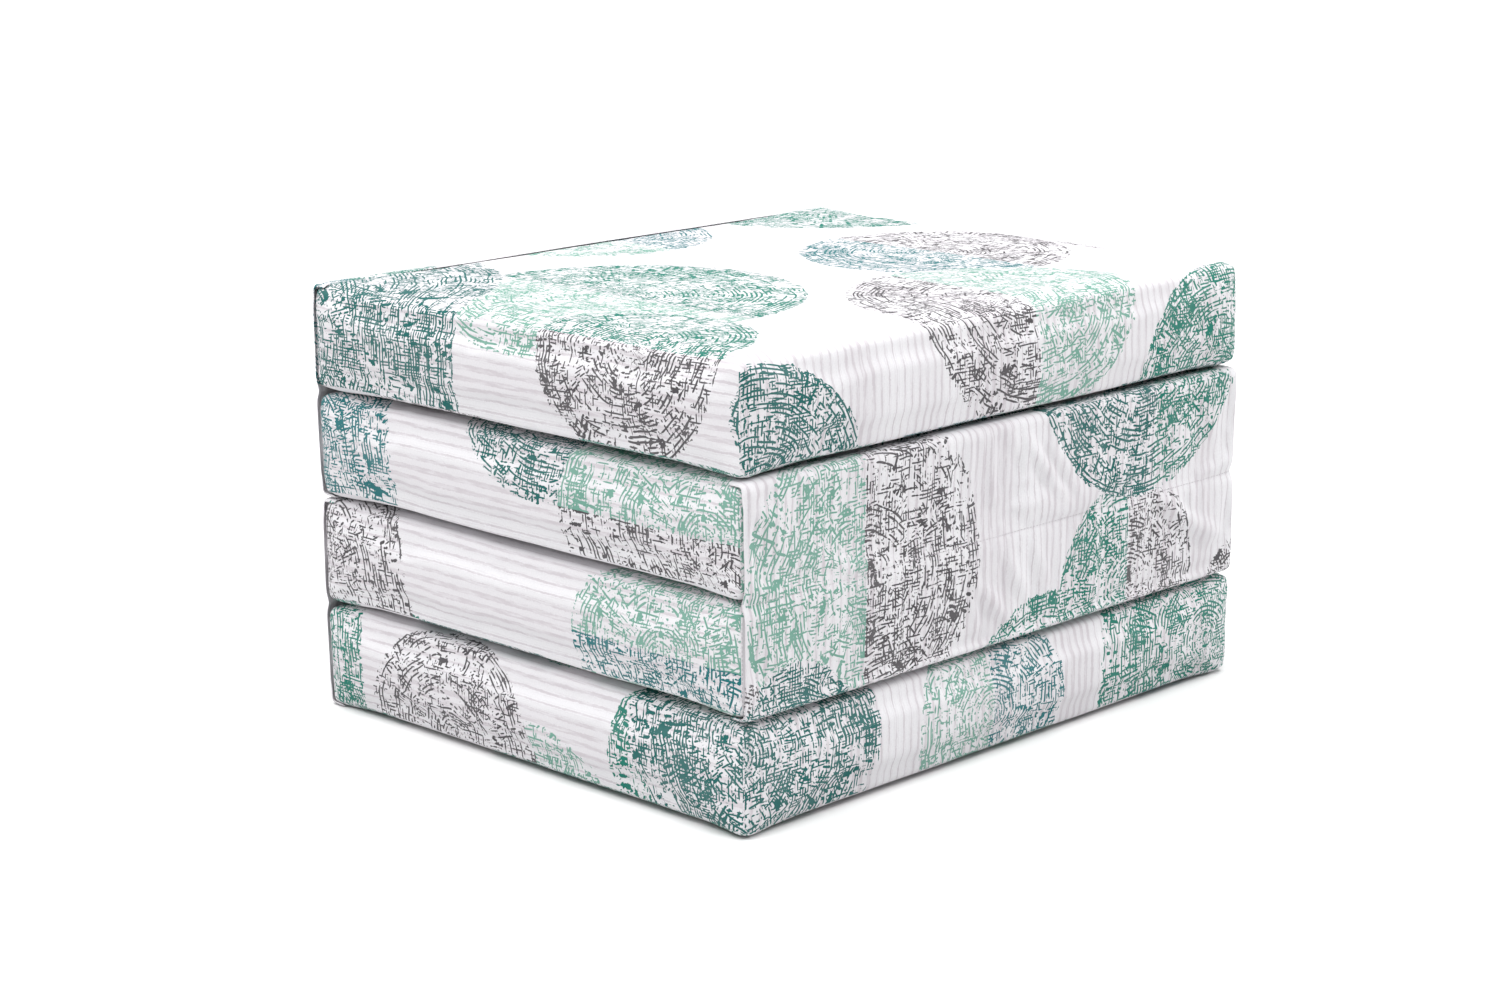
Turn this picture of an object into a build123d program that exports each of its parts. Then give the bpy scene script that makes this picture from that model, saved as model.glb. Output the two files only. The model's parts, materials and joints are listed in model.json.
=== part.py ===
from build123d import *
import os

os.makedirs("parts", exist_ok=True)

# Folding mattress: four foam sections in printed covers, stacked in an accordion fold.
# X runs along a section from fold to fold, Y runs across the mattress, Z is up.

# --- Sections -------------------------------------------------------------------------
section_count = 4
section_length = 500.0       # from fold line to fold line, along X
section_width = 600.0        # across the mattress, along Y
section_thickness = 89.4     # foam and cover together
section_gap = 0.8            # air between two stacked sections
fabric_thickness = 1.0       # quilted cotton cover
corner_radius = 12.0         # upright edges of a section
edge_radius = 8.0            # rolled edges round the lying faces

# --- Fold hinges ----------------------------------------------------------------------
hinge_stand_off = 1.5        # the fold line stands this far outside the end faces
hinge_seam_radius = 0.8      # rolled seam on the fold line
hinge_web_thickness = 0.5    # flat of the seam, back to the strip
hinge_web_rise = 0.1         # the web's underside above the fold line

# --- Corner seams ---------------------------------------------------------------------
seam_bead_radius = 0.9

# --- Zips, one along the back edge of each section --------------------------------------
zip_length = 440.0
tape_width = 6.0             # each of the two tapes
tape_thickness = 0.6
coil_width = 2.0
coil_height = 1.6
stop_length = 3.0
slider_length = 9.0
slider_width = 8.0
slider_clearance = 0.3       # over the tape and the coil
slider_top = 2.5             # top plate above the cover
slider_corner_radius = 1.5
slider_start = 215.0         # closed position along X
lug_length = 2.4
lug_thickness = 0.8
lug_gap = 3.6                # between the two lugs
lug_top = 4.3
pin_radius = 0.5
pin_height = 3.6             # pin axis above the cover
pin_clearance = 0.05
eye_radius = 0.95
eye_width = 3.2
puller_length = 24.0
puller_width = 6.0
puller_thickness = 1.0
puller_start = 2.2           # the wide tab begins this far from the pin
puller_corner_radius = 1.5
puller_hole_radius = 1.5

# --- Worked out from the sizes above -----------------------------------------------------
section_pitch = section_thickness + section_gap
half_length = section_length / 2
hinge_reach = half_length + hinge_stand_off
zip_stand = pin_height + eye_radius
front_face = -(section_width + zip_stand) / 2
back_face = front_face + section_width
section_middle = (front_face + back_face) / 2
strip_length = section_width - 2 * corner_radius
strip_end_margin = edge_radius       # a strip stops where the rolled edge starts


def section_floor(index):
    """Underside of a section, counted from 0 at the bottom."""
    return index * section_pitch


def fold_height(index):
    """Height of the fold line over a section, halfway up the gap."""
    return section_floor(index) + section_thickness + section_gap / 2


def fold_side(index):
    """Side of the fold line over a section: -1 at the low X end, +1 at the high X end."""
    return -1 if index % 2 == 0 else 1


def strip_sides(index):
    """Sides of a section that carry a fold strip."""
    sides = set()
    if index > 0:
        sides.add(fold_side(index - 1))
    if index < section_count - 1:
        sides.add(fold_side(index))
    return sides


def section_slab(index, inset):
    """Rounded slab of one section, drawn in by inset on every side."""
    sides = strip_sides(index)
    low_end = -half_length + (fabric_thickness if -1 in sides else 0) + inset
    high_end = half_length - (fabric_thickness if 1 in sides else 0) - inset
    with BuildPart() as slab:
        with BuildSketch(Plane.XY.offset(section_floor(index) + inset)):
            with Locations(((low_end + high_end) / 2, section_middle)):
                RectangleRounded(high_end - low_end, section_width - 2 * inset, corner_radius - inset)
        extrude(amount=section_thickness - 2 * inset)
        fillet(slab.faces().filter_by(Plane.XY).edges(), radius=edge_radius - inset)
    return slab.part


# --- Foam, cover and corner seams of each section -----------------------------------------
for index in range(section_count):
    number = index + 1
    outside = section_slab(index, 0)
    inside = section_slab(index, fabric_thickness)
    seam_height = section_floor(index) + edge_radius

    with BuildPart() as foam_core:
        add(inside)
    foam_core.part.label = f"foam_core_{number}"
    export_step(foam_core.part, f"parts/foam_core_{number}.step")

    # The cover shell is the top panel and all four sides, open below.
    with BuildPart() as cover_shell:
        add(outside)
        add(inside, mode=Mode.SUBTRACT)
        split(bisect_by=Plane.XY.offset(seam_height), keep=Keep.TOP)
    cover_shell.part.label = f"cover_shell_{number}"
    export_step(cover_shell.part, f"parts/cover_shell_{number}.step")

    # The closing panel is the underside with its rolled edge.
    with BuildPart() as closing_panel:
        add(outside)
        add(inside, mode=Mode.SUBTRACT)
        split(bisect_by=Plane.XY.offset(seam_height), keep=Keep.BOTTOM)
    closing_panel.part.label = f"closing_panel_{number}"
    export_step(closing_panel.part, f"parts/closing_panel_{number}.step")

    # One bead stands on the middle of each upright rounded edge.
    slab_box = outside.bounding_box()
    bead_inset = corner_radius * (1 - 0.5 ** 0.5)
    with BuildPart() as corner_seams:
        with BuildSketch(Plane.XY.offset(seam_height)):
            with Locations((slab_box.center().X, section_middle)):
                with GridLocations(slab_box.size.X - 2 * bead_inset, section_width - 2 * bead_inset, 2, 2):
                    Circle(seam_bead_radius)
        extrude(amount=section_thickness - 2 * edge_radius)
        add(outside, mode=Mode.SUBTRACT)
    corner_seams.part.label = f"corner_seams_{number}"
    export_step(corner_seams.part, f"parts/corner_seams_{number}.step")

# --- Fold strips and hinge seams -------------------------------------------------------------
for index in range(section_count - 1):
    pair = f"{index + 1}{index + 2}"
    side = fold_side(index)
    fold_line = fold_height(index)
    strip_middle = side * (half_length - fabric_thickness / 2)
    half_gap = section_gap / 2

    lower_foot = section_floor(index) + strip_end_margin
    lower_head = fold_line - half_gap
    with BuildPart() as fold_strip_lower:
        with Locations((strip_middle, section_middle, (lower_foot + lower_head) / 2)):
            Box(fabric_thickness, strip_length, lower_head - lower_foot)
    fold_strip_lower.part.label = f"fold_strip_{pair}_lower"
    export_step(fold_strip_lower.part, f"parts/fold_strip_{pair}_lower.step")

    upper_foot = fold_line + half_gap
    upper_head = section_floor(index + 1) + section_thickness - strip_end_margin
    with BuildPart() as fold_strip_upper:
        with Locations((strip_middle, section_middle, (upper_foot + upper_head) / 2)):
            Box(fabric_thickness, strip_length, upper_head - upper_foot)
    fold_strip_upper.part.label = f"fold_strip_{pair}_upper"
    export_step(fold_strip_upper.part, f"parts/fold_strip_{pair}_upper.step")

    # A rolled seam on the fold line, with a flat web back to the upper strip.
    web_middle = fold_line + hinge_web_rise + hinge_web_thickness / 2
    with BuildPart() as hinge_seam:
        with BuildSketch(Plane.XZ.offset(-section_middle)):
            with Locations((side * hinge_reach, fold_line)):
                Circle(hinge_seam_radius)
            with Locations((side * (half_length + hinge_stand_off / 2), web_middle)):
                Rectangle(hinge_stand_off, hinge_web_thickness)
        extrude(amount=strip_length / 2, both=True)
    hinge_seam.part.label = f"hinge_seam_{pair}"
    export_step(hinge_seam.part, f"parts/hinge_seam_{pair}.step")

# --- Zips --------------------------------------------------------------------------------------
for index in range(section_count):
    number = index + 1
    zip_height = section_floor(index) + section_thickness / 2
    tape_offset = (coil_width + tape_width) / 2

    with BuildPart() as zip_tape:
        with Locations((0, back_face + tape_thickness / 2, zip_height)):
            with Locations((0, 0, -tape_offset), (0, 0, tape_offset)):
                Box(zip_length, tape_thickness, tape_width)
    zip_tape.part.label = f"zip_tape_{number}"
    export_step(zip_tape.part, f"parts/zip_tape_{number}.step")

    with BuildPart() as zip_coil:
        with Locations((0, back_face + coil_height / 2, zip_height)):
            Box(zip_length, coil_height, coil_width)
    zip_coil.part.label = f"zip_coil_{number}"
    export_step(zip_coil.part, f"parts/zip_coil_{number}.step")

    stop_offset = (zip_length + stop_length) / 2
    with BuildPart() as zip_stops:
        with Locations((0, back_face + coil_height / 2, zip_height)):
            with Locations((-stop_offset, 0, 0), (stop_offset, 0, 0)):
                Box(stop_length, coil_height, 2 * coil_width)
    zip_stops.part.label = f"zip_stops_{number}"
    export_step(zip_stops.part, f"parts/zip_stops_{number}.step")

    # The slider straddles the coil, and two lugs hold the puller's pin.
    slider_underside = tape_thickness + slider_clearance
    with BuildPart() as zip_slider:
        with BuildSketch(Plane.YZ.offset(slider_start - slider_length / 2)):
            with Locations((back_face + (slider_underside + slider_top) / 2, zip_height)):
                Rectangle(slider_top - slider_underside, slider_width)
            with Locations((back_face + (coil_height + slider_clearance) / 2, zip_height)):
                Rectangle(coil_height + slider_clearance, coil_width + 2 * slider_clearance, mode=Mode.SUBTRACT)
        extrude(amount=slider_length)
        fillet(zip_slider.edges().filter_by(Axis.Y).group_by(SortBy.LENGTH)[-1], radius=slider_corner_radius)
        lug_offset = (lug_gap + lug_thickness) / 2
        with BuildSketch(Plane.XY.offset(zip_height)):
            with Locations((slider_start, back_face + (slider_top + lug_top) / 2)):
                Rectangle(lug_length, lug_top - slider_top)
        extrude(amount=lug_gap / 2 + lug_thickness, both=True)
        with BuildSketch(Plane.XY.offset(zip_height)):
            with Locations((slider_start, back_face + (slider_top + lug_top) / 2)):
                Rectangle(lug_length, lug_top - slider_top)
        extrude(amount=lug_gap / 2, both=True, mode=Mode.SUBTRACT)
        with BuildSketch(Plane.XY.offset(zip_height)):
            with Locations((slider_start, back_face + pin_height)):
                Circle(pin_radius)
        extrude(amount=lug_gap / 2 + lug_thickness, both=True)
    zip_slider.part.label = f"zip_slider_{number}"
    export_step(zip_slider.part, f"parts/zip_slider_{number}.step")

    # The puller lies flat along the zip, with a barrel eye round the pin.
    tab_length = puller_length - puller_start
    tab_middle = slider_start - puller_start - tab_length / 2
    with BuildPart() as zip_puller:
        with BuildSketch(Plane.XY.offset(zip_height)):
            with Locations((slider_start, back_face + pin_height)):
                Circle(eye_radius)
            with Locations((slider_start - puller_start / 2, back_face + pin_height)):
                Rectangle(puller_start, puller_thickness)
            with Locations((slider_start, back_face + pin_height)):
                Circle(pin_radius + pin_clearance, mode=Mode.SUBTRACT)
        extrude(amount=eye_width / 2, both=True)
        with BuildSketch(Plane.XZ.offset(-(back_face + pin_height))):
            with Locations((tab_middle, zip_height)):
                RectangleRounded(tab_length, puller_width, puller_corner_radius)
            with Locations((slider_start - puller_length + puller_width / 2, zip_height)):
                Circle(puller_hole_radius, mode=Mode.SUBTRACT)
        extrude(amount=puller_thickness / 2, both=True)
    zip_puller.part.label = f"zip_puller_{number}"
    export_step(zip_puller.part, f"parts/zip_puller_{number}.step")
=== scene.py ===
"""Looks of a folding foam mattress, stacked in an accordion fold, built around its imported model.

Four padded sections in printed cotton covers are joined by fabric fold strips. Lengths are in
metres in the meshes and in millimetres in the print, whose map is the covers' own cloth.
"""
import json
import logging
import math
import random
from dataclasses import dataclass, field
from enum import Enum
from typing import Iterable

import bmesh
import bpy
import numpy as np
from mathutils import Matrix, Vector, noise
from mathutils.bvhtree import BVHTree


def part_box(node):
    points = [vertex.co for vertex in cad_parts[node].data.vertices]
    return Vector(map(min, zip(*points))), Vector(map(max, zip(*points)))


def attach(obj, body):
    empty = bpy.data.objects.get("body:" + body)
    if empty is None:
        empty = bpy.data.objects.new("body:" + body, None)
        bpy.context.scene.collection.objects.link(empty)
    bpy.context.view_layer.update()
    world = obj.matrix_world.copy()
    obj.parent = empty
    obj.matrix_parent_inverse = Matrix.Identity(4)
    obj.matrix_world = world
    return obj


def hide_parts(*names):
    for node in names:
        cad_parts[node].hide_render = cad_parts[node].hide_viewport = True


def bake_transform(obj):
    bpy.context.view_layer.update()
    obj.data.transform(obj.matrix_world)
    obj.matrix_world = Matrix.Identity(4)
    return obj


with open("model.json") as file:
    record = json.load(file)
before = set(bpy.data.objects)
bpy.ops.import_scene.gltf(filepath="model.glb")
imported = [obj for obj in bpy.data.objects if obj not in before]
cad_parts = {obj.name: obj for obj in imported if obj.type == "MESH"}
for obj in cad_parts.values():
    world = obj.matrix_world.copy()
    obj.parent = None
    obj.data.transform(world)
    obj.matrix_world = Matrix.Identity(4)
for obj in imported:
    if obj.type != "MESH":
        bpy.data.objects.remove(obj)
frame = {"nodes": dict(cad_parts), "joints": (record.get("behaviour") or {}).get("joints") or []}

logging.basicConfig(level=logging.INFO, format="%(message)s")
log = logging.getLogger("mattress")

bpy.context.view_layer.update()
SECTIONS = 4
MM = 0.001
PRINT_MAP = "cloth"
WHITE = (1.0, 1.0, 1.0, 1.0)


# --- Colours and print --------------------------------------------------------------------------


class Ink(Enum):
    """Printing inks: a linear colour, and how densely its strokes are cut."""

    DARK_TEAL = ((0.001, 0.100, 0.092), 0.98)
    BLUE_TEAL = ((0.006, 0.130, 0.142), 0.87)
    GREEN_TEAL = ((0.001, 0.155, 0.112), 0.93)
    MINT = ((0.135, 0.310, 0.245), 0.8)
    GREY = ((0.060, 0.055, 0.060), 0.7)

    @property
    def colour(self) -> tuple[float, float, float, float]:
        """The ink's colour with full cover."""
        return (*self.value[0], 1.0)

    @property
    def density(self) -> float:
        """How dense its strokes are, from 0 to 1."""
        return self.value[1]


@dataclass(frozen=True)
class Slice:
    """One printed slice of a trunk, or two half slices in different inks that share a straight cut.

    Places are in millimetres on the section's cloth: u along the stripes, v across them.
    """

    u: float
    v: float
    radius: float
    below: Ink
    above: Ink
    cut: float = 0.0

    def clear_of(self, window: tuple[float, float, float, float]) -> bool:
        """Whether the slice stays outside a window.

        Args:
            window: the window's lowest u, highest u, lowest v and highest v.

        Returns:
            Whether it does.
        """
        near_u = min(max(self.u, window[0]), window[1])
        near_v = min(max(self.v, window[2]), window[3])
        return math.hypot(self.u - near_u, self.v - near_v) > self.radius


def whole(u: float, v: float, radius: float, ink: Ink) -> Slice:
    """A slice in one ink."""
    return Slice(u, v, radius, ink, ink)


HALF_LENGTH, DEPTH = 250.0, 90.0
FRONT = -302.0
FRONT_SIDE = (-HALF_LENGTH, HALF_LENGTH, FRONT - DEPTH, FRONT)
END_SIDE = (HALF_LENGTH, HALF_LENGTH + DEPTH, FRONT, -FRONT)
TOP_FACE = (-HALF_LENGTH, HALF_LENGTH, FRONT, -FRONT)

# The print of each section as it lies on its cloth, from the bottom section up.
PLACED = {
    1: [
        whole(-145, -470, 88, Ink.GREEN_TEAL),
        whole(-312, -347, 117, Ink.GREEN_TEAL),
        whole(20, -432, 84, Ink.MINT),
        whole(-85, -386, 99, Ink.GREY),
        whole(256, -362, 152, Ink.GREEN_TEAL),
        whole(272, -302, 148, Ink.DARK_TEAL),
        Slice(300, -22, 87, Ink.MINT, Ink.BLUE_TEAL),
        whole(299, 258, 143, Ink.GREEN_TEAL),
    ],
    2: [
        whole(-145, -471, 90, Ink.GREEN_TEAL),
        whole(-270, -372, 137, Ink.GREY),
        Slice(165, -354, 98, Ink.BLUE_TEAL, Ink.MINT, 2),
    ],
    3: [
        whole(-270, -357, 124, Ink.BLUE_TEAL),
        whole(33, -233, 116, Ink.DARK_TEAL),
        Slice(212, -349, 157, Ink.GREY, Ink.MINT, 2),
    ],
    4: [
        whole(-250, 320, 178, Ink.GREEN_TEAL),
        whole(110, 335, 78, Ink.GREY),
        Slice(-250, 11, 110, Ink.MINT, Ink.BLUE_TEAL),
        Slice(35, 150, 115, Ink.BLUE_TEAL, Ink.GREY),
        Slice(220, 30, 131, Ink.GREY, Ink.MINT),
        Slice(-5, -180, 148, Ink.MINT, Ink.GREEN_TEAL),
        Slice(127, -300, 99, Ink.GREY, Ink.GREEN_TEAL),
        whole(-270, -346, 206, Ink.DARK_TEAL),
        whole(272, -345, 34, Ink.DARK_TEAL),
        whole(370, -287, 119, Ink.DARK_TEAL),
        whole(355, 273, 115, Ink.GREEN_TEAL),
    ],
}
STRIP_PLACED = [
    whole(430, -302, 32, Ink.GREY),
    whole(450, 308, 54, Ink.GREY),
    whole(491, 43, 96, Ink.GREEN_TEAL),
    Slice(408, 148, 88, Ink.GREEN_TEAL, Ink.GREY),
    Slice(206, 165, 132, Ink.DARK_TEAL, Ink.GREEN_TEAL, 18),
    Slice(341, -170, 130, Ink.MINT, Ink.GREY),
    whole(451, -244, 60, Ink.DARK_TEAL),
]
SEEN = {
    1: (FRONT_SIDE, END_SIDE),
    2: (FRONT_SIDE,),
    3: (FRONT_SIDE,),
    4: (FRONT_SIDE, END_SIDE, TOP_FACE),
}
SPARE_RADII = (78, 140)
TRIES_PER_SLICE = 60
LEAST_SPACING = 0.86


def scattered(seed: int, count: int, seen: Iterable[tuple], reach_u: float,
              reach_v: float) -> list[Slice]:
    """Slices for the cloth that the placed ones leave bare.

    Args:
        seed: start of the draw, so that each cover differs.
        count: how many slices to place at most.
        seen: windows that the placed print already fills.
        reach_u: furthest centre from the middle, along the stripes.
        reach_v: furthest centre from the middle, across them.

    Returns:
        The slices, none of which overlaps another by much or enters a window.
    """
    draw = random.Random(seed)
    inks = list(Ink)
    made: list[Slice] = []
    for _ in range(TRIES_PER_SLICE * count):
        below, above = draw.choice(inks), draw.choice(inks)
        new = Slice(draw.uniform(-reach_u, reach_u), draw.uniform(-reach_v, reach_v),
                    draw.uniform(*SPARE_RADII), below, above if draw.random() < 0.5 else below)
        apart = all(math.hypot(new.u - old.u, new.v - old.v) > LEAST_SPACING * (new.radius + old.radius)
                    for old in made)
        if apart and all(new.clear_of(window) for window in seen):
            made.append(new)
        if len(made) == count:
            break
    return made


# --- Shader building ------------------------------------------------------------------------------

Feed = bpy.types.NodeSocket | float | tuple


class Sketch:
    """Adds nodes to a tree and links them, so that a finish reads as a sum of its steps."""

    def __init__(self, tree: bpy.types.NodeTree) -> None:
        """Starts on a tree."""
        self.tree = tree
        self.count = 0

    def feed(self, socket: bpy.types.NodeSocket, value: Feed) -> None:
        """Links a socket to another one, or sets its value.

        Args:
            socket: the input socket.
            value: the socket or the value that feeds it.
        """
        if isinstance(value, bpy.types.NodeSocket):
            self.tree.links.new(value, socket)
        else:
            socket.default_value = value

    def node(self, kind: str, inputs: dict | None = None, **settings: object) -> bpy.types.Node:
        """Adds one node.

        Args:
            kind: the node's type name, without its ShaderNode prefix.
            inputs: socket name or number to a value or a socket.
            settings: properties of the node.

        Returns:
            The node.
        """
        made = self.tree.nodes.new(kind if kind.startswith("Node") else "ShaderNode" + kind)
        made.location = (180 * (self.count % 12), -220 * (self.count // 12))
        self.count += 1
        for name, value in settings.items():
            setattr(made, name, value)
        self.plug(made, inputs or {})
        return made

    def plug(self, node: bpy.types.Node, inputs: dict) -> None:
        """Feeds a node's input sockets, by name or number."""
        for name, value in inputs.items():
            self.feed(node.inputs[name], value)

    def math(self, operation: str, *values: Feed, clamp: bool = False) -> bpy.types.NodeSocket:
        """One Math node on up to three values or sockets."""
        made = self.node("Math", dict(enumerate(values)), operation=operation, use_clamp=clamp)
        return made.outputs[0]

    def vector(self, operation: str, *values: Feed) -> bpy.types.NodeSocket:
        """One Vector Math node.

        Args:
            operation: the node's operation.
            values: up to three values or sockets.

        Returns:
            Its number for a length or a dot product, or else its vector.
        """
        inputs = dict(enumerate(values))
        if operation == "SCALE":
            inputs["Scale"] = inputs.pop(1)
        made = self.node("VectorMath", inputs, operation=operation)
        return made.outputs["Value" if operation in {"LENGTH", "DOT_PRODUCT"} else "Vector"]

    def ramp(self, value: Feed, low: float, high: float, to_low: float = 0.0,
             to_high: float = 1.0) -> bpy.types.NodeSocket:
        """Smooth step of a value between two levels."""
        levels = {"Value": value, "From Min": low, "From Max": high, "To Min": to_low, "To Max": to_high}
        return self.node("MapRange", levels, interpolation_type="SMOOTHSTEP").outputs["Result"]

    def noise(self, vector: bpy.types.NodeSocket, scale: float, detail: float = 1.0,
              rough: float = 0.5) -> bpy.types.NodeSocket:
        """Noise value from 0 to 1."""
        return self.node("TexNoise", {"Vector": vector, "Scale": scale, "Detail": detail,
                                      "Roughness": rough}).outputs[0]

    def noise_parts(self, vector: bpy.types.NodeSocket, scale: float, detail: float = 1.0,
                    rough: float = 0.5) -> bpy.types.NodeSocket:
        """Three unlike noise values from 0 to 1, as a colour."""
        return self.node("TexNoise", {"Vector": vector, "Scale": scale, "Detail": detail,
                                      "Roughness": rough}).outputs["Color"]

    def parts(self, vector: bpy.types.NodeSocket) -> bpy.types.bpy_prop_collection:
        """The three numbers of a vector."""
        return self.node("SeparateXYZ", {"Vector": vector}).outputs

    def mix(self, share: Feed, first: Feed, second: Feed) -> bpy.types.NodeSocket:
        """Colour mix."""
        return self.node("Mix", {0: share, 6: first, 7: second}, data_type="RGBA",
                         clamp_factor=True).outputs[2]

    def mix_vector(self, share: Feed, first: Feed, second: Feed) -> bpy.types.NodeSocket:
        """Vector mix."""
        return self.node("Mix", {0: share, 4: first, 5: second}, data_type="VECTOR",
                         clamp_factor=True).outputs[1]

    def mix_value(self, share: Feed, first: Feed, second: Feed) -> bpy.types.NodeSocket:
        """Mix of two numbers."""
        return self.node("Mix", {0: share, 2: first, 3: second}).outputs[0]

    def bump(self, height: Feed, strength: float, distance: float) -> bpy.types.NodeSocket:
        """Normal of a raised surface, whose distance is in metres."""
        return self.node("Bump", {"Height": height, "Strength": strength,
                                  "Distance": distance}).outputs[0]

    def group(self, group: bpy.types.NodeTree, inputs: dict) -> bpy.types.Node:
        """Places a node group."""
        return self.node("Group", inputs, node_tree=group)


def rgba(colour: tuple[float, float, float]) -> tuple[float, float, float, float]:
    """Colour with full cover."""
    return (*colour, 1.0)


def new_group(name: str, inputs: dict, outputs: dict) -> tuple[bpy.types.NodeTree, Sketch, dict, dict]:
    """Starts a node group.

    Args:
        name: the group's name.
        inputs: socket name to socket type, such as "Float", or a pair with its first value.
        outputs: socket name to socket type.

    Returns:
        The group, a sketch on it, its input sockets and its output sockets.
    """
    group = bpy.data.node_groups.new(name, "ShaderNodeTree")
    for label, kind in inputs.items():
        kind, value = kind if isinstance(kind, tuple) else (kind, None)
        socket = group.interface.new_socket(label, in_out="INPUT", socket_type="NodeSocket" + kind)
        if value is not None:
            socket.default_value = value
    for label, kind in outputs.items():
        group.interface.new_socket(label, in_out="OUTPUT", socket_type="NodeSocket" + kind)
    sketch = Sketch(group)
    start = sketch.node("NodeGroupInput")
    end = sketch.node("NodeGroupOutput")
    given = {socket.name: socket for socket in start.outputs if socket.name}
    wanted = {socket.name: socket for socket in end.inputs if socket.name}
    return group, sketch, given, wanted


@dataclass(frozen=True)
class StrokeRun:
    """Cut lines that run one way through a slice, in millimetres.

    A line is cut where its own noise is above a need, and a patch noise lowers the need.
    """

    seed: float
    length: float
    pitch: float
    patch: int
    need: float
    avoids_centre: bool = False


RING_RUN = StrokeRun(0.0, 16.0, 3.7, 0, 0.715)
RAY_RUN = StrokeRun(7.0, 9.0, 3.1, 1, 0.760, avoids_centre=True)
LEVEL_RUN = StrokeRun(13.0, 10.0, 2.8, 2, 0.746)
UPRIGHT_RUN = StrokeRun(23.0, 11.0, 2.8, 2, 0.746)
SLANTED_RUN = StrokeRun(31.0, 8.0, 3.1, 1, 0.815)
FLATTEN = (1, 1, 0)


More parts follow.
